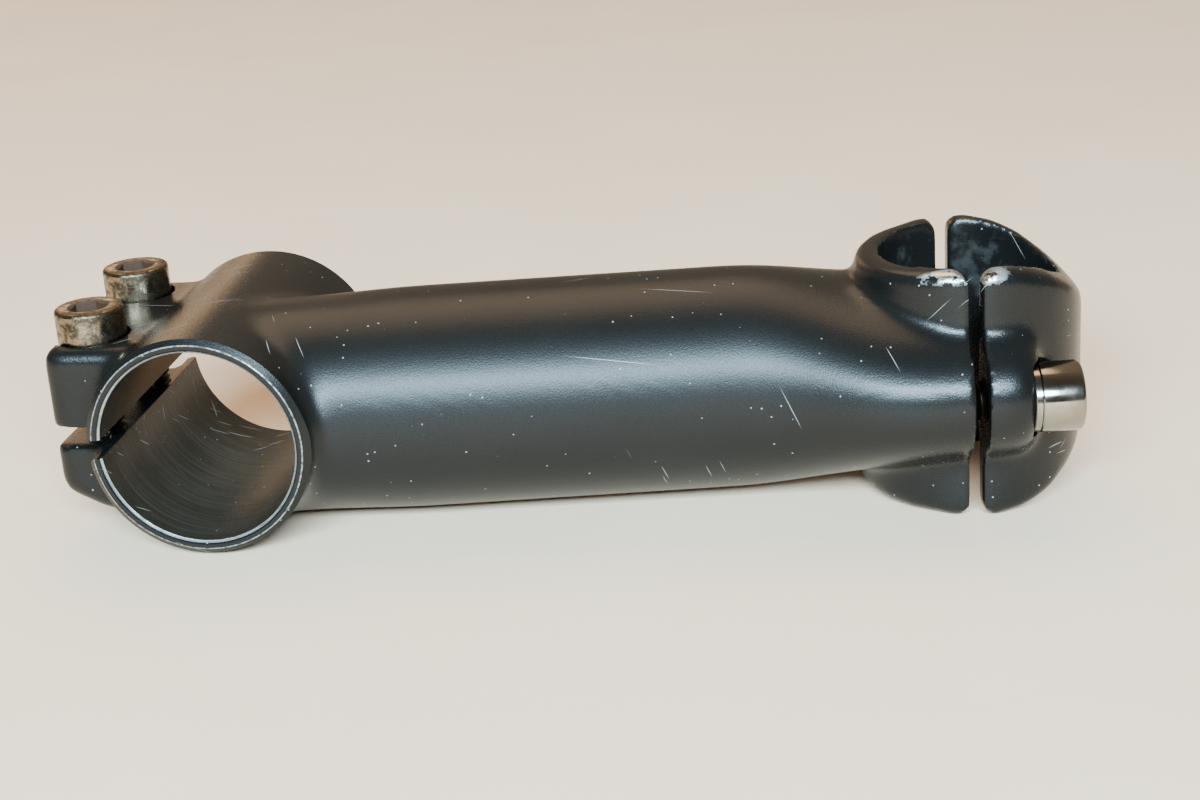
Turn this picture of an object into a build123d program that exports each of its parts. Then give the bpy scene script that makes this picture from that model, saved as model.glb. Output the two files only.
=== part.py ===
from build123d import *
import math
import os

# Handlebar stem for a threadless steerer, lying on its side. Millimetres.
# Origin: middle of the steerer clamp, on the steerer axis.
# +Y runs along the steerer, +Z along the handlebar, +X from the steerer towards the handlebar.

# Main sizes
steerer_diameter = 28.6
bar_diameter = 25.4
stem_length = 110.0
stem_angle = 8.0
stack_height = 45.0
tube_diameter = 33.0
tube_offset = 5.8

# Steerer clamp
steerer_wall = 2.1
rim_round = 0.4
bore_chamfer = 0.4
neck_diameter = 32.0
neck_sunk = 4.1
neck_taper = 17.2
neck_blend = 5.0
slit_width = 2.8
ear_length = 35.0
ear_reach = 5.6
ear_top = 13.4
ear_bottom = 11.5
ear_slope = 6.0
ear_sunk = 2.3
ear_round = 2.4

# Hollow inside the extension
tube_wall = 2.9
hollow_mouth_diameter = 21.0
hollow_mouth_length = 20.0
hollow_widening = 10.0
hollow_end_wall = 13.0

# Handlebar clamp
bar_wall = 3.8
clamp_half_height = 18.5
clamp_back_half_height = 17.3
clamp_front_half_height = 11.8
clamp_front_slope = 0.9
clamp_rim_margin = 2.5
clamp_rim_round = 1.6
face_gap = 1.8
split_offset = 1.5

# Bolt columns beside the handlebar
bolt_to_bar = 1.4
column_wall = 2.3
column_half_height = 14.3
column_taper = 26.0
column_straight = 6.4
face_column_length = 6.4

# Bolts and washers
bolt_diameter = 6.0
bolt_head_diameter = 10.0
bolt_head_height = 6.0
bolt_head_round = 0.5
bolt_tip_chamfer = 0.7
socket_across_flats = 5.0
socket_depth = 3.2
washer_diameter = 9.8
washer_thickness = 1.0
pinch_bolt_spacing = 20.5
pinch_bolt_length = 20.0
face_bolt_length = 20.0
pinch_seat_depth = 2.6
bolt_to_steerer = 0.2
tapped_extra_depth = 3.0

# Clearances
thread_clearance = 0.05
hole_clearance = 0.25
washer_clearance = 0.15
spot_face_clearance = 0.6
seat_gap = 0.02

# Worked out from the sizes above
steerer_radius = steerer_diameter / 2
ring_radius = steerer_radius + steerer_wall
bar_radius = bar_diameter / 2
clamp_radius = bar_radius + bar_wall
tube_radius = tube_diameter / 2
bolt_radius = bolt_diameter / 2
hole_radius = bolt_radius + hole_clearance
tapped_radius = bolt_radius + thread_clearance
spot_radius = max(bolt_head_diameter, washer_diameter) / 2 + spot_face_clearance
pinch_x = -(steerer_radius + bolt_to_steerer + hole_radius)
ear_x = pinch_x - ear_reach
pinch_seat_z = ear_top - pinch_seat_depth
face_bolt_v = bar_radius + bolt_to_bar + hole_radius
column_reach = face_bolt_v + hole_radius + column_wall
split_x = stem_length - split_offset
body_end_x = split_x - face_gap / 2
face_start_x = split_x + face_gap / 2
face_seat_x = face_start_x + face_column_length
flare_end_x = body_end_x - column_straight
flare_start_x = flare_end_x - column_taper
far = 10 * stem_length

# The extension's own frame: x along the extension, y across it, z along the handlebar
tilt = math.radians(stem_angle)
extension = Plane(origin=(0, -tube_offset, 0), x_dir=(math.cos(tilt), math.sin(tilt), 0), z_dir=(0, 0, 1))


def along_y(shape):
    """Turns a shape made about +Z so that it stands about +Y."""
    return Rot(-90, 0, 0) * shape


def along_x(shape):
    """Turns a shape made about +Z so that it stands about +X."""
    return Rot(0, 90, 0) * shape


def rod(radius, length):
    """A cylinder that stands on the XY plane."""
    return Pos(0, 0, length / 2) * Cylinder(radius, length)


def beyond(x):
    """Everything further along the extension than x, in the extension's frame."""
    return Pos(x + far / 2, 0, 0) * Box(far, far, far)


def chamfered_bore(radius, length, chamfer):
    """A through cutter about Z, wider at both ends of a wall of the given length."""
    mouth = Pos(0, 0, length / 2 - chamfer) * Cone(radius, radius + 2 * chamfer, 2 * chamfer,
                                                   align=(Align.CENTER, Align.CENTER, Align.MIN))
    return Cylinder(radius, 2 * length) + mouth + mirror(mouth, Plane.XY)


def steerer_ring_and_tube():
    """The steerer clamp's ring with the extension growing out of it, as one blended blank."""
    neck_radius = neck_diameter / 2
    neck_end = ring_radius - neck_sunk
    full_start = neck_end + neck_taper
    outline = Curve() + [
        Line((0, 0), (0, neck_radius)),
        Line((0, neck_radius), (neck_end, neck_radius)),
        Spline((neck_end, neck_radius), (full_start, tube_radius), tangents=[(1, 0), (1, 0)]),
        Line((full_start, tube_radius), (flare_start_x, tube_radius)),
        Line((flare_start_x, tube_radius), (flare_start_x, 0)),
        Line((flare_start_x, 0), (0, 0)),
    ]
    tube = extension * revolve(make_face(outline), Axis.X)
    blank = tube + along_y(Cylinder(ring_radius, 2 * stack_height))
    blank = blank.fillet(neck_blend, [e for e in blank.edges() if e.geom_type == GeomType.BSPLINE])
    blank = blank & Box(far, stack_height, far)
    ends = [e for e in blank.edges() if abs(abs(e.center().Y) - stack_height / 2) < rim_round]
    return blank.fillet(rim_round, ends)


def column_section(x, share):
    """The extension's cross-section at x, from round (share 0) to wide enough for both bolts (share 1)."""
    half_width = tube_radius + (column_reach - tube_radius) * share
    half_height = tube_radius + (column_half_height - tube_radius) * share
    return Plane.YZ.offset(x) * Ellipse(half_width, half_height)


def flare():
    """The stretch where the round tube spreads into the two bolt columns."""
    steps = 5
    sections = []
    for i in range(steps + 1):
        t = i / steps
        share = t * t * (3 - 2 * t)
        sections.append(column_section(flare_start_x + (flare_end_x - flare_start_x) * t, share))
    return loft(sections) + extrude(column_section(flare_end_x, 1), amount=column_straight)


def clamp_blank():
    """A short cylinder round the handlebar, its rims falling away to front and back."""
    back, middle, front = clamp_back_half_height, clamp_half_height, clamp_front_half_height
    r = clamp_radius + clamp_rim_margin
    slope = clamp_front_slope
    outline = Curve() + [
        Spline((-r, back), (0, middle), (r, front), tangents=[(1, 0), (1, -slope)]),
        Line((r, front), (r, -front)),
        Spline((r, -front), (0, -middle), (-r, -back), tangents=[(-1, -slope), (-1, 0)]),
        Line((-r, -back), (-r, back)),
    ]
    band = Pos(0, 2 * r, 0) * extrude(Plane.XZ * make_face(outline), amount=4 * r)
    blank = Cylinder(clamp_radius, 3 * middle) & band
    rims = [e for e in blank.edges() if e.geom_type == GeomType.BSPLINE]
    return Pos(stem_length, 0, 0) * blank.fillet(clamp_rim_round, rims)


def bar_bore():
    return Pos(stem_length, 0, 0) * Cylinder(bar_radius, 3 * clamp_half_height)


def face_bolt_places():
    """Where the two faceplate bolts cross the split, in the extension's frame."""
    return [Pos(split_x, side * face_bolt_v, 0) for side in (-1, 1)]


def pinch_bolt_places():
    """Where the two pinch bolts cross the slit."""
    return [Pos(pinch_x, side * pinch_bolt_spacing / 2, 0) for side in (-1, 1)]


def ears():
    """The block behind the steerer that the pinch bolts draw together."""
    inner = -steerer_radius / 2
    outline = Polyline((ear_x, ear_top), (inner, ear_top), (inner, ear_sunk - ring_radius),
                       (ear_x + ear_slope, -ear_bottom), (ear_x, -ear_bottom + ear_slope / 2), close=True)
    block = Pos(0, ear_length / 2, 0) * extrude(Plane.XZ * make_face(outline), amount=ear_length)
    outer = [e for e in block.edges() if e.center().X < ear_x + ear_slope]
    return block.fillet(ear_round, outer)


def hollow():
    """The space inside the extension, open to the steerer."""
    mouth = hollow_mouth_diameter / 2
    wide = tube_radius - tube_wall
    wide_start = hollow_mouth_length + hollow_widening
    end = stem_length - clamp_radius - hollow_end_wall
    outline = Curve() + [
        Line((0, 0), (0, mouth)),
        Line((0, mouth), (hollow_mouth_length, mouth)),
        Spline((hollow_mouth_length, mouth), (wide_start, wide), tangents=[(1, 0), (1, 0)]),
        Line((wide_start, wide), (end - wide / 2, wide)),
        Spline((end - wide / 2, wide), (end, 0), tangents=[(1, 0), (0, -1)]),
        Line((end, 0), (0, 0)),
    ]
    return extension * revolve(make_face(outline), Axis.X)


def stem_body():
    body = steerer_ring_and_tube() + ears() + extension * flare()
    body = body + extension * (clamp_blank() - beyond(body_end_x))
    body = body - hollow()
    body = body - along_y(chamfered_bore(steerer_radius, stack_height, bore_chamfer))
    body = body - Pos(ear_x, 0, 0) * Box(2 * abs(ear_x - pinch_x) + bolt_diameter, far, slit_width)
    body = body - extension * bar_bore()
    for place in pinch_bolt_places():
        body = body - place * rod(hole_radius, far)
        body = body - place * Pos(0, 0, pinch_seat_z) * rod(spot_radius, far)
        body = body - place * Pos(0, 0, -far) * rod(tapped_radius, far)
    tapped_depth = face_bolt_length - washer_thickness - face_column_length - face_gap / 2 + tapped_extra_depth
    for place in face_bolt_places():
        body = body - extension * (place * Pos(-tapped_depth, 0, 0) * along_x(rod(tapped_radius, far)))
    return body


def faceplate():
    plate = clamp_blank() & beyond(face_start_x)
    plate = plate + extrude(column_section(face_start_x, 1), amount=face_column_length)
    plate = plate - bar_bore()
    for place in face_bolt_places():
        plate = plate - place * along_x(rod(hole_radius, far))
        plate = plate - place * Pos(face_seat_x - split_x, 0, 0) * along_x(rod(spot_radius, far))
    return extension * plate


def bolt(length):
    """A socket head bolt standing head up, with the head's underside on the XY plane."""
    head = rod(bolt_head_diameter / 2, bolt_head_height)
    head = head.fillet(bolt_head_round, head.edges().group_by(Axis.Z)[-1])
    shank = Pos(0, 0, -length) * rod(bolt_radius, length)
    shank = shank.chamfer(bolt_tip_chamfer, None, shank.edges().group_by(Axis.Z)[0])
    corner = socket_across_flats / 2 / math.cos(math.radians(30))
    socket = extrude(Plane.XY.offset(bolt_head_height) * RegularPolygon(corner, 6), amount=-socket_depth)
    return head + shank - socket


def washer():
    """A flat washer lying on the XY plane."""
    return rod(washer_diameter / 2, washer_thickness) - rod(bolt_radius + washer_clearance, washer_thickness)


nodes = {"stem_body": stem_body(), "faceplate": faceplate()}
for name, place in zip(("lower", "upper"), pinch_bolt_places()):
    seat = place * Pos(0, 0, pinch_seat_z + seat_gap)
    nodes[f"{name}_pinch_washer"] = seat * washer()
    nodes[f"{name}_pinch_bolt"] = seat * Pos(0, 0, washer_thickness + seat_gap) * bolt(pinch_bolt_length)
for name, place in zip(("lower", "upper"), face_bolt_places()):
    seat = extension * place * Pos(face_seat_x - split_x, 0, 0)
    nodes[f"{name}_face_washer"] = seat * along_x(washer())
    nodes[f"{name}_face_bolt"] = seat * Pos(washer_thickness + seat_gap, 0, 0) * along_x(bolt(face_bolt_length))

os.makedirs("parts", exist_ok=True)
for name, shape in nodes.items():
    export_step(shape, f"parts/{name}.step")
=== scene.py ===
import math

import bpy
from mathutils import Matrix, Vector


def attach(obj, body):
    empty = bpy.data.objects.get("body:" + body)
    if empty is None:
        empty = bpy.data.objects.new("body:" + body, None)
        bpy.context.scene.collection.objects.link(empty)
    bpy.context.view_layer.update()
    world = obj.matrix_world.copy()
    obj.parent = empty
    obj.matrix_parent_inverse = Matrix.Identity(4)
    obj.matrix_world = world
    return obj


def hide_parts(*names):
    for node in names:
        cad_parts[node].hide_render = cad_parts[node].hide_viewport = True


MM = 0.001
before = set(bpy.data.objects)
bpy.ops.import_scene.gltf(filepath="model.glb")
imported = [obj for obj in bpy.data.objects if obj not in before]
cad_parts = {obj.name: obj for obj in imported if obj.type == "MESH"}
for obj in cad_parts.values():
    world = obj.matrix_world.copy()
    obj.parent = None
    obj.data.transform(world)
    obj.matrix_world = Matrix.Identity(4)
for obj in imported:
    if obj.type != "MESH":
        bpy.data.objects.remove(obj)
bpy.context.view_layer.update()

# Sizes in millimetres, the same as the CAD part's except that the bolt columns are slimmer
STEERER_RADIUS = 14.3
BORE_MOUTH_RADIUS = 14.8
BORE_STRAIGHT_END = 22.0
RING_RADIUS = 16.4
RING_END = 22.5
RING_END_RADIUS = 15.4
RING_SHOULDER = 21.7
RING_SHOULDER_RADIUS = 16.5
SLIT_HALF_WIDTH = 1.4
EAR_X = -23.35
EAR_HALF_WIDTH = 17.5
EAR_TOP = 13.4
EAR_BOTTOM = -15
EXTENSION_OFFSET = 5.8
EXTENSION_TURN = math.radians(8)
NECK_RADIUS = 16.0
NECK_END = 12.3
NECK_TAPER = 17.2
TUBE_RADIUS = 16.5
FLARE_START = 75.0
FLARE_LENGTH = 26.0
HOLLOW_MOUTH_RADIUS = 10.5
HOLLOW_MOUTH_END = 20
HOLLOW_WIDENING = 10
HOLLOW_RADIUS = 13.6
HOLLOW_STRAIGHT_END = 73.7
HOLLOW_END_DEPTH = 6.8
STEM_LENGTH = 110.0
BAR_RADIUS = 12.7
CLAMP_RADIUS = 16.5
SPLIT_X = 108.5
HALF_GAP = 0.9
SEAT_X = 115.8
SEAT_SUNK = 1.8
NOSE_ROUND = 4.0
RIM_HEIGHT = 18.3
CORNER_RADIUS = 2.2
COLUMN_REACH = 22.9
COLUMN_HALF_HEIGHT = 13.2
FACE_BOLT_V = 17.35
PINCH_X = -17.75
PINCH_Y = 10.25
PINCH_SEAT_Z = 10.8
HOLE_RADIUS = 3.25
TAPPED_RADIUS = 3.05
TAPPED_START = 94.1
SPOT_RADIUS = 5.6
WASHER_RADIUS = 4.9
WASHER_THICKNESS = 1.0
SEAT_GAP = 0.02
KEY_CORNER_RADIUS = 2.887
THREAD_PITCH = 1.0
THREAD_TURNS = 18
CLEAR = 80  # past everything, for cutters
TABLE_DEPTH = 17.0
TABLE_DIP = math.radians(0.8)

ALONG_X = Matrix.Rotation(math.radians(90), 4, "Y")
ALONG_Y = Matrix.Rotation(math.radians(-90), 4, "X")
EXTENSION = Matrix.Translation((0, -EXTENSION_OFFSET * MM, 0)) @ Matrix.Rotation(EXTENSION_TURN, 4, "Z")


def at(x, y, z):
    """A shift in millimetres."""
    return Matrix.Translation(Vector((x, y, z)) * MM)


# ---------------------------------------------------------------- modelling

def only(obj):
    bpy.ops.object.select_all(action="DESELECT")
    obj.select_set(True)
    bpy.context.view_layer.objects.active = obj


def settle(obj, matrix):
    """Moves a piece to its place and leaves that place in its mesh."""
    only(obj)
    obj.matrix_world = matrix @ obj.matrix_basis
    bpy.ops.object.transform_apply()
    return obj


def apply_modifier(obj, kind, **settings):
    only(obj)
    modifier = obj.modifiers.new(kind.lower(), kind)
    for name, value in settings.items():
        setattr(modifier, name, value)
    bpy.ops.object.modifier_apply(modifier=modifier.name)


def turned(name, stations, segments=96):
    """A solid turned about +Z: stations are (z, half width along x, half width along y), in mm."""
    z, wide, deep = stations[0]
    bpy.ops.mesh.primitive_circle_add(vertices=segments, radius=MM, fill_type="NGON", location=(0, 0, z * MM))
    obj = bpy.context.object
    obj.name = name
    bpy.ops.object.transform_apply()
    bpy.ops.object.mode_set(mode="EDIT")
    bpy.ops.mesh.select_all(action="SELECT")
    bpy.ops.transform.resize(value=(wide, deep, 1), center_override=(0, 0, z * MM))
    for next_z, next_wide, next_deep in stations[1:]:
        bpy.ops.mesh.extrude_region_move(TRANSFORM_OT_translate={"value": (0, 0, (next_z - z) * MM)})
        bpy.ops.transform.resize(value=(next_wide / wide, next_deep / deep, 1),
                                 center_override=(0, 0, next_z * MM))
        z, wide, deep = next_z, next_wide, next_deep
    bpy.ops.mesh.select_all(action="SELECT")
    bpy.ops.mesh.normals_make_consistent(inside=False)
    bpy.ops.object.mode_set(mode="OBJECT")
    return obj


def round_turned(name, stations, segments=96):
    """The same for stations that are (z, radius)."""
    return turned(name, [(z, r, r) for z, r in stations], segments)


def block(name, low, high):
    bpy.ops.mesh.primitive_cube_add(size=1)
    obj = bpy.context.object
    obj.name = name
    low, high = Vector(low) * MM, Vector(high) * MM
    obj.location = (low + high) / 2
    obj.scale = high - low
    bpy.ops.object.transform_apply()
    return obj


def slice_off(obj, point, normal):
    """Cuts away what lies beyond a plane and closes the cut."""
    only(obj)
    bpy.ops.object.mode_set(mode="EDIT")
    bpy.ops.mesh.select_all(action="SELECT")
    bpy.ops.mesh.bisect(plane_co=Vector(point) * MM, plane_no=normal, use_fill=True, clear_outer=True)
    bpy.ops.object.mode_set(mode="OBJECT")


def combine(obj, tool, operation):
    apply_modifier(obj, "BOOLEAN", object=tool, operation=operation, solver="MANIFOLD")
    bpy.data.objects.remove(tool)


def join(*objs):
    only(objs[0])
    for other in objs[1:]:
        other.select_set(True)
    bpy.ops.object.join()
    return objs[0]


def copied(obj, name):
    twin = obj.copy()
    twin.data = obj.data.copy()
    twin.name = name
    bpy.context.scene.collection.objects.link(twin)
    return twin


def soften(obj, voxel, passes):
    """Welds what overlaps into one skin and rounds its edges and inner corners."""
    apply_modifier(obj, "REMESH", mode="VOXEL", voxel_size=voxel * MM)
    apply_modifier(obj, "SMOOTH", factor=0.5, iterations=passes)


def eased(t):
    return t * t * (3 - 2 * t)


# ---------------------------------------------------------------- forged stem

def extension_blank():
    """The neck, the round tube and its spread into the two bolt columns."""
    stations = [(0, NECK_RADIUS, NECK_RADIUS)]
    for i in range(9):
        t = i / 8
        r = NECK_RADIUS + (TUBE_RADIUS - NECK_RADIUS) * eased(t)
        stations.append((NECK_END + NECK_TAPER * t, r, r))
    for i in range(11):
        t = i / 10
        half_height = TUBE_RADIUS + (COLUMN_HALF_HEIGHT - TUBE_RADIUS) * eased(t)
        half_width = TUBE_RADIUS + (COLUMN_REACH - TUBE_RADIUS) * eased(t)
        stations.append((FLARE_START + FLARE_LENGTH * t, half_height, half_width))
    nose_x = SEAT_X + SEAT_SUNK - NOSE_ROUND
    for degrees in range(0, 91, 15):
        turn = math.radians(degrees)
        out, shrink = NOSE_ROUND * math.sin(turn), NOSE_ROUND * (1 - math.cos(turn))
        stations.append((nose_x + out, COLUMN_HALF_HEIGHT - shrink, COLUMN_REACH - shrink))
    return settle(turned("extension", stations), EXTENSION @ ALONG_X)


def clamp_blank():
    """A short drum round the handlebar, its rims falling away towards the front."""
    drum = round_turned("drum", [(-20, CLAMP_RADIUS), (20, CLAMP_RADIUS)])
    rim = [(-10, 17.9, 0.08), (-3, 18.4, 0.04), (4, 18.1, -0.16), (8, 16.9, -0.42), (12, 14.5, -0.72),
           (16, 11.0, -1.0)]
    for x, z, slope in rim:
        for side in (1, -1):
            slice_off(drum, (x, 0, side * z), (-slope, 0, side))
    return settle(drum, EXTENSION @ at(STEM_LENGTH, 0, 0))


def ears_blank():
    """Both ears as one block, its underside in two slopes. The slit parts it later."""
    ears = block("ears", (EAR_X, -EAR_HALF_WIDTH, EAR_BOTTOM), (-7.15, EAR_HALF_WIDTH, EAR_TOP))
    slice_off(ears, (EAR_X, 0, -8.5), (-0.447, 0, -0.894))
    slice_off(ears, (EAR_X + 6, 0, -11.5), (-0.247, 0, -0.969))
    apply_modifier(ears, "BEVEL", width=2.0 * MM, segments=4)
    return ears


def forging():
    ring = settle(round_turned("ring", [(-30, RING_RADIUS), (30, RING_RADIUS)]), ALONG_Y)
    body = join(extension_blank(), ring)
    soften(body, 0.8, 26)
    body = join(body, clamp_blank())
    soften(body, 0.7, 12)
    body = join(body, ears_blank())
    soften(body, 0.7, 6)
    return body


def bar_cutter():
    bar = round_turned("bar", [(-CLEAR / 2, BAR_RADIUS), (CLEAR / 2, BAR_RADIUS)], 128)
    return settle(bar, EXTENSION @ at(STEM_LENGTH, 0, 0))


def between(name, low_x, high_x):
    """A cutter for one side of the gap, with its corners rounded."""
    cutter = block(name, (low_x, -CLEAR, -RIM_HEIGHT), (high_x, CLEAR, RIM_HEIGHT))
    apply_modifier(cutter, "BEVEL", width=CORNER_RADIUS * MM, segments=5)
    return settle(cutter, EXTENSION)


def stem_shell(blank):
    """The stem's own half of the forging, with its bores, its hollow, its slit and its holes."""
    combine(blank, between("behind_gap", -CLEAR, SPLIT_X - HALF_GAP), "INTERSECT")
    combine(blank, bar_cutter(), "DIFFERENCE")
    combine(blank, block("slit", (-40, -60, -SLIT_HALF_WIDTH), (-9, 60, SLIT_HALF_WIDTH)), "DIFFERENCE")
    soften(blank, 0.6, 3)

    # The ring's chamfered ends, with room around for the ears and beyond for the extension
    chamfer = [(RING_END, RING_END_RADIUS), (RING_SHOULDER, RING_SHOULDER_RADIUS), (RING_SHOULDER, 45)]
    far_chamfer = [(-y, r) for y, r in chamfer]
    envelope = settle(round_turned("envelope", far_chamfer + chamfer[::-1], 192), ALONG_Y)
    combine(envelope, block("extension_room", (30, -CLEAR, -CLEAR), (200, CLEAR, CLEAR)), "UNION")
    combine(blank, envelope, "INTERSECT")

    hollow = [(0, HOLLOW_MOUTH_RADIUS), (HOLLOW_MOUTH_END, HOLLOW_MOUTH_RADIUS)]
    for i in range(1, 7):
        t = i / 6
        hollow.append((HOLLOW_MOUTH_END + HOLLOW_WIDENING * t,
                       HOLLOW_MOUTH_RADIUS + (HOLLOW_RADIUS - HOLLOW_MOUTH_RADIUS) * eased(t)))
    for degrees in range(0, 90, 12):
        turn = math.radians(degrees)
        hollow.append((HOLLOW_STRAIGHT_END + HOLLOW_END_DEPTH * math.sin(turn),
                       HOLLOW_RADIUS * math.cos(turn)))
    hollow.append((HOLLOW_STRAIGHT_END + HOLLOW_END_DEPTH, 0.4))
    combine(blank, settle(round_turned("hollow", hollow), EXTENSION @ ALONG_X), "DIFFERENCE")

    mouth = [(BORE_STRAIGHT_END, STEERER_RADIUS), (RING_END, BORE_MOUTH_RADIUS), (40, BORE_MOUTH_RADIUS)]
    far_mouth = [(-y, r) for y, r in mouth[::-1]]
    combine(blank, settle(round_turned("bore", far_mouth + mouth, 192), ALONG_Y), "DIFFERENCE")

    for side in (-1, 1):
        hole = round_turned("hole", [
            (-40, TAPPED_RADIUS), (0, TAPPED_RADIUS), (0, HOLE_RADIUS), (PINCH_SEAT_Z, HOLE_RADIUS),
            (PINCH_SEAT_Z, SPOT_RADIUS), (40, SPOT_RADIUS)], 64)
        combine(blank, settle(hole, at(PINCH_X, side * PINCH_Y, 0)), "DIFFERENCE")
        tapped = round_turned("tapped", [(TAPPED_START, TAPPED_RADIUS), (130, TAPPED_RADIUS)], 64)
        combine(blank, settle(tapped, EXTENSION @ at(0, side * FACE_BOLT_V, 0) @ ALONG_X), "DIFFERENCE")
    return blank


def face_shell(blank):
    """The half in front of the gap, with a seat for each bolt."""
    combine(blank, between("before_gap", SPLIT_X + HALF_GAP, 200), "INTERSECT")
    combine(blank, bar_cutter(), "DIFFERENCE")
    soften(blank, 0.5, 5)
    for side in (-1, 1):
        hole = round_turned("hole", [
            (80, HOLE_RADIUS), (SEAT_X, HOLE_RADIUS), (SEAT_X, SPOT_RADIUS), (140, SPOT_RADIUS)], 64)
        combine(blank, settle(hole, EXTENSION @ at(0, side * FACE_BOLT_V, 0) @ ALONG_X), "DIFFERENCE")
    return blank


# ---------------------------------------------------------------- bolts and washers

def screw_thread():
    """A ridge wound round the shank."""
    bpy.ops.mesh.primitive_circle_add(vertices=4, radius=0.44 * MM, fill_type="NOTHING",
                                      rotation=(math.radians(90), 0, 0), location=(2.54 * MM, 0, -19.4 * MM))
    ridge = bpy.context.object
    bpy.ops.object.transform_apply()
    apply_modifier(ridge, "SCREW", angle=math.radians(360), screw_offset=THREAD_PITCH * MM,
                   iterations=THREAD_TURNS, steps=40, render_steps=40, use_merge_vertices=True)
    bpy.ops.object.mode_set(mode="EDIT")
    bpy.ops.mesh.select_all(action="SELECT")
    bpy.ops.mesh.fill_holes(sides=4)
    bpy.ops.mesh.select_all(action="SELECT")
    bpy.ops.mesh.normals_make_consistent(inside=False)
    bpy.ops.object.mode_set(mode="OBJECT")
    return ridge


def socket_bolt():
    """A socket head bolt, the underside of its head on the XY plane."""
    bolt = round_turned("bolt", [
        (-20, 2.0), (-19.45, 2.52), (-1.0, 2.52), (-0.5, 2.96), (0, 2.96), (0, 4.85), (0.15, 5.0),
        (5.45, 5.0), (5.72, 4.93), (5.9, 4.78), (6.0, 4.55)])
    combine(bolt, screw_thread(), "UNION")

    # The socket takes a 5 mm key, and has a drilled bottom and a chamfered mouth
    bpy.ops.mesh.primitive_cylinder_add(vertices=6, radius=KEY_CORNER_RADIUS * MM, depth=6 * MM,
                                        location=(0, 0, 5.8 * MM))
    key = bpy.context.object
    bpy.ops.object.transform_apply()
    combine(bolt, key, "DIFFERENCE")
    drilled = round_turned("drilled", [(2.1, 0.3), (2.8, 2.5), (5.65, 2.5), (6.1, 3.15), (7, 3.15)], 48)
    combine(bolt, drilled, "DIFFERENCE")
    return bolt


def plain_washer():
    """A washer lying on the XY plane, its edges broken."""
    washer = round_turned("washer", [
        (0, 4.78), (0.12, WASHER_RADIUS), (WASHER_THICKNESS - 0.12, WASHER_RADIUS), (WASHER_THICKNESS, 4.78)])
    combine(washer, round_turned("eye", [(-1, 3.15), (2, 3.15)], 64), "DIFFERENCE")
    return washer


# ---------------------------------------------------------------- materials

def srgb(hex_colour):
    """An sRGB hex colour as linear RGBA."""
    parts = [int(hex_colour[i:i + 2], 16) / 255 for i in (0, 2, 4)]
    return tuple(c / 12.92 if c <= 0.04045 else ((c + 0.055) / 1.055) ** 2.4 for c in parts) + (1.0,)


def emptied(owner):
    """A material or world with its nodes cleared, and the function that adds a node to it."""
    owner.use_nodes = True
    tree = owner.node_tree
    tree.nodes.clear()

    def add(kind, inputs, **settings):
        """Adds a node. An input is a value, a socket, or a node, which stands for its first live output."""
        node = tree.nodes.new(kind)
        for key, value in settings.items():
            setattr(node, key, value)
        for key, value in inputs.items():
            if isinstance(value, bpy.types.Node):
                value = next(socket for socket in value.outputs if socket.enabled)
            if isinstance(value, bpy.types.NodeSocket):
                tree.links.new(value, node.inputs[key])
            else:
                node.inputs[key].default_value = value
        return node

    return owner, add


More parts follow.
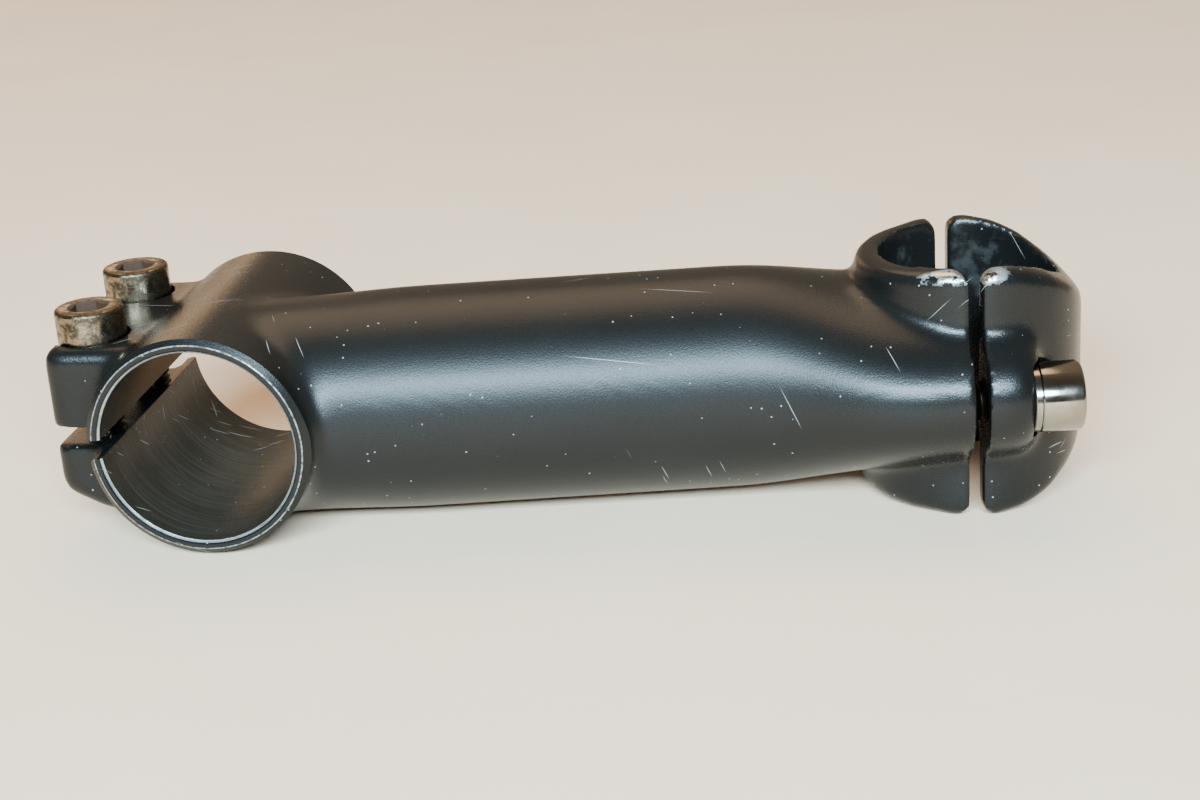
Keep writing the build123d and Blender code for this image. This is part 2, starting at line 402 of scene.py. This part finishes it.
def black_anodised_aluminium(name, bored):
    """Forged aluminium, bead-blasted and dyed black in the anodising bath.

    The oxide skin is a hard clear layer over deep black: a soft satin sheen with a fine grain from the
    blasting, stronger at a glancing angle. Knocks leave pale specks, fine scratches, and bare metal where a
    rim was rubbed.
    """
    material, add = emptied(bpy.data.materials.new(name))
    place = add("ShaderNodeTexCoord", {}).outputs["Object"]
    along = add("ShaderNodeMapping", {"Vector": place, "Location": (0, -EXTENSION_OFFSET * MM, 0),
                                      "Rotation": (0, 0, EXTENSION_TURN)}, vector_type="TEXTURE")
    along_x, across, height = add("ShaderNodeSeparateXYZ", {0: along}).outputs

    cloud = add("ShaderNodeTexNoise", {"Vector": place, "Scale": 1 / (16 * MM), "Detail": 3.0})
    # Blasting grit is about 0.1 mm, drawn more than twice as coarse so that it shows
    grit = add("ShaderNodeTexNoise", {"Vector": place, "Scale": 1 / (0.24 * MM), "Detail": 2.0})
    dye_and_bore_shade = add("ShaderNodeMix", {0: cloud, 6: srgb("0b0b0b"), 7: srgb("131312")}, data_type="RGBA")
    # The middle of the extension is dulled by handling, and both clamps are glossier
    dulled = add("ShaderNodeMath", {0: along_x, 1: 52 * MM}, operation="SUBTRACT")
    dulled = add("ShaderNodeMath", {0: dulled}, operation="ABSOLUTE")
    dulled = add("ShaderNodeMapRange", {"Value": dulled, "From Min": 60 * MM, "From Max": 26 * MM,
                                        "To Min": 0.2, "To Max": 0.3}, interpolation_type="SMOOTHSTEP")
    uneven = add("ShaderNodeMath", {0: grit, 1: 0.12}, operation="MULTIPLY")
    sheen = add("ShaderNodeMath", {0: dulled, 1: uneven}, operation="ADD")

    # Knocks: one cell in four of a 1.4 mm pattern holds a pale speck of about 0.25 mm
    cells = add("ShaderNodeTexVoronoi", {"Vector": place, "Scale": 1 / (1.4 * MM)})
    dot = add("ShaderNodeMapRange", {"Value": cells.outputs["Distance"], "From Min": 0.12, "From Max": 0.06,
                                     "To Max": 0.4})
    lot = add("ShaderNodeSeparateXYZ", {0: cells.outputs["Color"]}).outputs[0]
    chosen = add("ShaderNodeMath", {0: lot, 1: 0.75}, operation="GREATER_THAN")
    marks = add("ShaderNodeMath", {0: dot, 1: chosen}, operation="MULTIPLY")

    # Scratches: the same dots drawn out along the surface to fine lines that run a few ways
    for turn, length, width, above in (
            ((-0.64, 0.1, 0.0), 70, 0.7, 0.8), ((-0.64, -0.6, 0.2), 50, 0.6, 0.86),
            ((-0.5, 1.1, -0.3), 40, 0.6, 0.88), ((0.9, 0.3, 0.2), 60, 0.7, 0.8)):
        drawn = add("ShaderNodeMapping", {"Vector": place, "Rotation": turn, "Scale": (
            length * MM, 14 * MM, width * MM)}, vector_type="TEXTURE")
        cells = add("ShaderNodeTexVoronoi", {"Vector": drawn, "Scale": 1.0})
        line = add("ShaderNodeMapRange", {"Value": cells.outputs["Distance"], "From Min": 0.11,
                                          "From Max": 0.07, "To Max": 0.35})
        lot = add("ShaderNodeSeparateXYZ", {0: cells.outputs["Color"]}).outputs[0]
        chosen = add("ShaderNodeMath", {0: lot, 1: above}, operation="GREATER_THAN")
        scratch = add("ShaderNodeMath", {0: line, 1: chosen}, operation="MULTIPLY")
        marks = add("ShaderNodeMath", {0: marks, 1: scratch}, operation="MAXIMUM")

    # Bare metal on the handlebar clamp's near rim, on both sides of the gap
    flakes = add("ShaderNodeTexNoise", {"Vector": place, "Scale": 1 / (1.6 * MM), "Detail": 3.0,
                                        "Roughness": 0.6})
    bare = add("ShaderNodeMapRange", {"Value": flakes, "From Min": 0.46, "From Max": 0.54})
    reach = add("ShaderNodeMath", {0: along_x, 1: 106 * MM}, operation="SUBTRACT")
    reach = add("ShaderNodeMath", {0: reach}, operation="ABSOLUTE")
    for value, start, full in ((height, 16.4, 17.2), (across, -12.6, -13.8), (reach, 8.0, 4.5)):
        within = add("ShaderNodeMapRange", {"Value": value, "From Min": start * MM, "From Max": full * MM},
                     interpolation_type="SMOOTHSTEP")
        bare = add("ShaderNodeMath", {0: bare, 1: within}, operation="MULTIPLY")

    # Pale smudges that the handlebar left in its clamp
    from_bar = add("ShaderNodeVectorMath", {0: along, 1: (STEM_LENGTH * MM, 0, 0)}, operation="SUBTRACT")
    from_bar = add("ShaderNodeVectorMath", {0: from_bar, 1: (1, 1, 0)}, operation="MULTIPLY")
    from_bar = add("ShaderNodeVectorMath", {0: from_bar}, operation="LENGTH").outputs["Value"]
    seat = add("ShaderNodeMapRange", {"Value": from_bar, "From Min": (BAR_RADIUS + 0.3) * MM,
                                      "From Max": (BAR_RADIUS + 0.2) * MM})
    haze = add("ShaderNodeTexNoise", {"Vector": place, "Scale": 1 / (4 * MM), "Detail": 3.0,
                                      "Roughness": 0.6})
    haze = add("ShaderNodeMapRange", {"Value": haze, "From Min": 0.54, "From Max": 0.72, "To Max": 0.03},
               interpolation_type="SMOOTHSTEP")
    smudge = add("ShaderNodeMath", {0: haze, 1: seat}, operation="MULTIPLY")
    marks = add("ShaderNodeMath", {0: marks, 1: smudge}, operation="MAXIMUM")

    if bored:
        # The steerer bore and both ends of its clamp were cut after blasting, so they show fine rings and
        # bright edges
        x, y, z = add("ShaderNodeSeparateXYZ", {0: place}).outputs
        flat = add("ShaderNodeCombineXYZ", {0: x, 1: z})
        radius = add("ShaderNodeVectorMath", {0: flat}, operation="LENGTH").outputs["Value"]
        end = add("ShaderNodeMath", {0: y}, operation="ABSOLUTE")
        near_end = add("ShaderNodeMapRange", {"Value": end, "From Min": BORE_STRAIGHT_END * MM,
                                              "From Max": (BORE_STRAIGHT_END + 0.06) * MM})
        inner = add("ShaderNodeMapRange", {"Value": radius, "From Min": (STEERER_RADIUS + 0.32) * MM,
                                           "From Max": (STEERER_RADIUS + 0.22) * MM})
        uneven = add("ShaderNodeMapRange", {"Value": flakes, "From Min": 0.35, "From Max": 0.6,
                                            "To Min": 0.35})
        inner = add("ShaderNodeMath", {0: inner, 1: uneven}, operation="MULTIPLY")
        outer = add("ShaderNodeMath", {0: radius, 1: (RING_END_RADIUS + 0.05) * MM, 2: 0.09 * MM},
                    operation="COMPARE")
        fleck = add("ShaderNodeTexNoise", {"Vector": place, "Scale": 1 / (0.7 * MM), "Detail": 3.0})
        rubbed = add("ShaderNodeMapRange", {"Value": fleck, "From Min": 0.4, "From Max": 0.65,
                                            "To Min": 0.1, "To Max": 0.8})
        outer = add("ShaderNodeMath", {0: outer, 1: rubbed}, operation="MULTIPLY")
        edges = add("ShaderNodeMath", {0: inner, 1: outer}, operation="ADD", use_clamp=True)
        edges = add("ShaderNodeMath", {0: edges, 1: near_end}, operation="MULTIPLY")
        bare = add("ShaderNodeMath", {0: bare, 1: edges}, operation="MAXIMUM")

        wall = add("ShaderNodeMapRange", {"Value": radius, "From Min": (STEERER_RADIUS + 0.2) * MM,
                                          "From Max": (STEERER_RADIUS + 0.1) * MM})
        rings = add("ShaderNodeMapping", {"Vector": place, "Scale": (60, 1 / (0.45 * MM), 60)})
        rings = add("ShaderNodeTexNoise", {"Vector": rings, "Scale": 1.0, "Detail": 3.0})
        # Painted shade: the bore wall is painted near black for the shade inside the bore, mottled by this
        # noise; the paler rings over it are machining marks
        bore_shade_mottle = add("ShaderNodeTexNoise", {"Vector": place, "Scale": 1 / (8 * MM), "Detail": 4.0,
                                          "Roughness": 0.6})
        cut = add("ShaderNodeMix", {0: bore_shade_mottle, 6: srgb("0c0b09"), 7: srgb("2c2922")}, data_type="RGBA")
        ring_share = add("ShaderNodeMapRange", {"Value": rings, "From Min": 0.45, "From Max": 0.8,
                                                "To Max": 0.5})
        cut = add("ShaderNodeMix", {0: ring_share, 6: cut, 7: srgb("45413a")}, data_type="RGBA")
        dye_and_bore_shade = add("ShaderNodeMix", {0: wall, 6: dye_and_bore_shade, 7: cut}, data_type="RGBA")
        matt = add("ShaderNodeMath", {0: wall, 1: 0.15}, operation="MULTIPLY")
        sheen = add("ShaderNodeMath", {0: sheen, 1: matt}, operation="ADD")

    worn = add("ShaderNodeMath", {0: marks, 1: bare}, operation="MAXIMUM")
    colour = add("ShaderNodeMix", {0: worn, 6: dye_and_bore_shade, 7: srgb("c4c6c4")}, data_type="RGBA")
    bump = add("ShaderNodeBump", {"Height": grit, "Distance": 0.03 * MM, "Strength": 0.8})
    shader = add("ShaderNodeBsdfPrincipled", {"Base Color": colour, "Metallic": bare, "Roughness": sheen,
                                              "IOR": 1.35, "Normal": bump})
    add("ShaderNodeOutputMaterial", {"Surface": shader})
    return material


def worn_plated_steel(name, x, y):
    """Zinc-plated steel left out in the wet: a dull warm shine, dark smudges, rust in the key socket, and
    painted shade low on the head.
    """
    material, add = emptied(bpy.data.materials.new(name))
    place = add("ShaderNodeTexCoord", {}).outputs["Object"]
    centred = add("ShaderNodeMapping", {"Vector": place, "Location": (-x * MM, -y * MM, 0)})
    across, along, height = add("ShaderNodeSeparateXYZ", {0: centred}).outputs
    flat = add("ShaderNodeCombineXYZ", {0: across, 1: along})
    radius = add("ShaderNodeVectorMath", {0: flat}, operation="LENGTH").outputs["Value"]
    smudge = add("ShaderNodeTexNoise", {"Vector": centred, "Scale": 1 / (2.6 * MM), "Detail": 4.0,
                                        "Roughness": 0.65})
    fine = add("ShaderNodeTexNoise", {"Vector": centred, "Scale": 1 / (0.35 * MM), "Detail": 3.0})
    share = add("ShaderNodeMapRange", {"Value": smudge, "From Min": 0.42, "From Max": 0.6},
                interpolation_type="SMOOTHSTEP")
    plating_and_shade = add("ShaderNodeMix", {0: share, 6: srgb("8f7f6a"), 7: srgb("453a2e")}, data_type="RGBA")
    dust = add("ShaderNodeMapRange", {"Value": fine, "From Min": 0.5, "From Max": 0.8, "To Max": 0.25})
    plating_and_shade = add("ShaderNodeMix", {0: dust, 6: plating_and_shade, 7: srgb("c9b9a2")}, data_type="RGBA")
    # Painted shade: the head is darkened towards its seat, where it sinks into the spot face, and the washer
    # and shank below with it
    spot_face_shade = add("ShaderNodeMapRange", {"Value": height, "From Min": 14.2 * MM, "From Max": 12.2 * MM,
                                       "To Max": 0.8}, interpolation_type="SMOOTHSTEP")
    plating_and_shade = add("ShaderNodeMix", {0: spot_face_shade, 6: plating_and_shade, 7: srgb("26211b")}, data_type="RGBA")
    inside = add("ShaderNodeMapRange", {"Value": radius, "From Min": 3.3 * MM, "From Max": 2.9 * MM})
    deep = add("ShaderNodeMapRange", {"Value": height, "From Min": 12.0 * MM, "From Max": 12.6 * MM})
    socket = add("ShaderNodeMath", {0: inside, 1: deep}, operation="MULTIPLY")
    rust = add("ShaderNodeMix", {0: fine, 6: srgb("1a100a"), 7: srgb("4f301c")}, data_type="RGBA")
    colour = add("ShaderNodeMix", {0: socket, 6: plating_and_shade, 7: rust}, data_type="RGBA")
    rough = add("ShaderNodeMapRange", {"Value": share, "To Min": 0.2, "To Max": 0.45})
    rust_matt = add("ShaderNodeMath", {0: socket, 1: 0.4}, operation="MULTIPLY")
    rough = add("ShaderNodeMath", {0: rough, 1: rust_matt}, operation="ADD")
    metal = add("ShaderNodeMapRange", {"Value": socket, "To Min": 1.0, "To Max": 0.1})
    bump = add("ShaderNodeBump", {"Height": fine, "Distance": 0.03 * MM, "Strength": 0.4})
    shader = add("ShaderNodeBsdfPrincipled", {"Base Color": colour, "Metallic": metal, "Roughness": rough,
                                              "Normal": bump})
    add("ShaderNodeOutputMaterial", {"Surface": shader})
    return material


def polished_steel():
    """Chromed steel bolts: mirror bright, with faint wiping marks, the odd dull spot, and painted shade on
    the thread behind the seat.
    """
    material, add = emptied(bpy.data.materials.new("polished_steel"))
    place = add("ShaderNodeTexCoord", {}).outputs["Object"]
    haze = add("ShaderNodeTexNoise", {"Vector": place, "Scale": 1 / (4 * MM), "Detail": 4.0,
                                      "Roughness": 0.6})
    fine = add("ShaderNodeTexNoise", {"Vector": place, "Scale": 1 / (0.4 * MM), "Detail": 2.0})
    colour = add("ShaderNodeMix", {0: haze, 6: srgb("aeaaa1"), 7: srgb("7a7468")}, data_type="RGBA")
    rough = add("ShaderNodeMapRange", {"Value": haze, "From Min": 0.35, "From Max": 0.75,
                                       "To Min": 0.1, "To Max": 0.24})
    # Behind the seat the thread is painted dark and matt: painted shade for the thread inside the holes and
    # across the gap
    along = add("ShaderNodeMapping", {"Vector": place, "Rotation": (0, 0, EXTENSION_TURN)},
                vector_type="TEXTURE")
    depth = add("ShaderNodeSeparateXYZ", {0: along}).outputs[0]
    thread_shade = add("ShaderNodeMapRange", {"Value": depth, "From Min": (SEAT_X - 0.6) * MM,
                                         "From Max": (SEAT_X - 1.2) * MM})
    colour = add("ShaderNodeMix", {0: thread_shade, 6: colour, 7: srgb("1c1713")}, data_type="RGBA")
    thread_shade_matt = add("ShaderNodeMath", {0: thread_shade, 1: 0.3}, operation="MULTIPLY")
    rough = add("ShaderNodeMath", {0: rough, 1: thread_shade_matt}, operation="ADD")
    bump = add("ShaderNodeBump", {"Height": fine, "Distance": 0.01 * MM, "Strength": 0.2})
    shader = add("ShaderNodeBsdfPrincipled", {"Base Color": colour, "Metallic": 1.0, "Roughness": rough,
                                              "Normal": bump})
    add("ShaderNodeOutputMaterial", {"Surface": shader})
    return material


def white_laminate():
    """White laminated board: matt, faintly mottled, with a few specks of dust."""
    material, add = emptied(bpy.data.materials.new("white_laminate"))
    place = add("ShaderNodeTexCoord", {}).outputs["Object"]
    cloud = add("ShaderNodeTexNoise", {"Vector": place, "Scale": 1 / (45 * MM), "Detail": 3.0})
    board = add("ShaderNodeMix", {0: cloud, 6: srgb("f6d2b2"), 7: srgb("fee0c2")}, data_type="RGBA")
    dust = add("ShaderNodeTexNoise", {"Vector": place, "Scale": 1 / (1.6 * MM), "Detail": 2.0,
                                      "Roughness": 0.6})
    dust = add("ShaderNodeMapRange", {"Value": dust, "From Min": 0.76, "From Max": 0.8, "To Max": 0.35})
    colour = add("ShaderNodeMix", {0: dust, 6: board, 7: srgb("8d8578")}, data_type="RGBA")
    shader = add("ShaderNodeBsdfPrincipled", {"Base Color": colour, "Roughness": 0.6})
    add("ShaderNodeOutputMaterial", {"Surface": shader})
    return material


# ---------------------------------------------------------------- pieces

def dress(obj, name, material, body, nodes):
    """Gives a piece its name, its material, the body it rides on and the nodes it stands for."""
    obj.name = name
    obj.data.materials.clear()
    obj.data.materials.append(material)
    only(obj)
    bpy.ops.object.shade_smooth_by_angle(angle=math.radians(32))
    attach(obj, body)
    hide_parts(*nodes)


bpy.ops.object.select_all(action="DESELECT")
blank = forging()
face_blank = copied(blank, "face_blank")
dress(stem_shell(blank), "stem_forging", black_anodised_aluminium("black_anodised_aluminium", True),
      "stem", ["stem_body"])
dress(face_shell(face_blank), "faceplate_forging",
      black_anodised_aluminium("black_anodised_faceplate", False), "faceplate", ["faceplate"])

bolt_form, washer_form = socket_bolt(), plain_washer()
chrome = polished_steel()
for side, which in ((-1, "lower"), (1, "upper")):
    plated = worn_plated_steel(f"worn_plated_steel_{which}", PINCH_X, side * PINCH_Y)
    seat = at(PINCH_X, side * PINCH_Y, PINCH_SEAT_Z + SEAT_GAP)
    raised = at(0, 0, WASHER_THICKNESS + SEAT_GAP)
    node = f"{which}_pinch_washer"
    dress(settle(copied(washer_form, node), seat), f"{node}_ring", plated, node, [node])
    node = f"{which}_pinch_bolt"
    dress(settle(copied(bolt_form, node), seat @ raised), f"{node}_screw", plated, node, [node])
    seat = EXTENSION @ at(SEAT_X, side * FACE_BOLT_V, 0) @ ALONG_X
    node = f"{which}_face_washer"
    dress(settle(copied(washer_form, node), seat), f"{node}_ring", chrome, "faceplate", [node])
    node = f"{which}_face_bolt"
    dress(settle(copied(bolt_form, node), seat @ raised), f"{node}_screw", chrome, node, [node])
for form in (bolt_form, washer_form):
    bpy.data.objects.remove(form)

# ---------------------------------------------------------------- table, light and camera

# The stem lies on the rims of both clamps, so the table dips slightly towards the handlebar clamp
bpy.ops.mesh.primitive_plane_add(size=4)
table = bpy.context.object
table.name = "table_top"
table.location = (0, 0, -TABLE_DEPTH * MM)
table.rotation_euler = (0, TABLE_DIP, 0)
table.data.materials.append(white_laminate())


def area_light(name, place, target, size, power, colour):
    bpy.ops.object.light_add(type="AREA", location=place)
    lamp = bpy.context.object
    lamp.name = name
    lamp.rotation_euler = (Vector(target) - Vector(place)).to_track_quat("-Z", "Y").to_euler()
    lamp.data.shape = "RECTANGLE"
    lamp.data.size, lamp.data.size_y = size
    lamp.data.energy = power
    lamp.data.color = srgb(colour)[:3]


area_light("window", (0.12, -1.0, 0.58), (0.05, 0, 0), (0.95, 0.25), 86, "c2e2f4")
area_light("lamp", (-0.4, 0.8, 0.22), (0.1, 0, 0), (0.24, 0.16), 0.35, "ffd0a0")
area_light("room", (-0.1, 0.5, 1.1), (0.05, 0, 0), (0.9, 0.9), 9, "ffdcb4")

# The room is warm and light behind the table, and dim on the near side
world, add_to_world = emptied(bpy.data.worlds.new("room_light"))
bpy.context.scene.world = world
towards = add_to_world("ShaderNodeTexCoord", {}).outputs["Generated"]
depth = add_to_world("ShaderNodeSeparateXYZ", {0: towards}).outputs[1]
lightness = add_to_world("ShaderNodeMapRange", {"Value": depth, "From Min": -0.5, "From Max": 0.6,
                                                "To Min": 0.12, "To Max": 0.46},
                         interpolation_type="SMOOTHSTEP")
surround = add_to_world("ShaderNodeBackground", {"Color": srgb("f0dabc"), "Strength": lightness})
add_to_world("ShaderNodeOutputWorld", {"Surface": surround})

bpy.ops.object.camera_add(location=(98.707 * MM, -289.674 * MM, 104.462 * MM))
camera = bpy.context.object
camera.name = "camera"
yaw, pitch, roll = -0.150036, -0.34806, -0.06801
forward = Vector((math.sin(yaw) * math.cos(pitch), math.cos(yaw) * math.cos(pitch), math.sin(pitch)))
level = forward.cross(Vector((0, 0, 1))).normalized()
upright = level.cross(forward)
right = level * math.cos(roll) + upright * math.sin(roll)
above = upright * math.cos(roll) - level * math.sin(roll)
camera.rotation_euler = Matrix((right, above, -forward)).transposed().to_euler()
camera.data.sensor_width = 36
camera.data.lens = 63.0
camera.data.clip_start = 0.01
bpy.context.scene.camera = camera
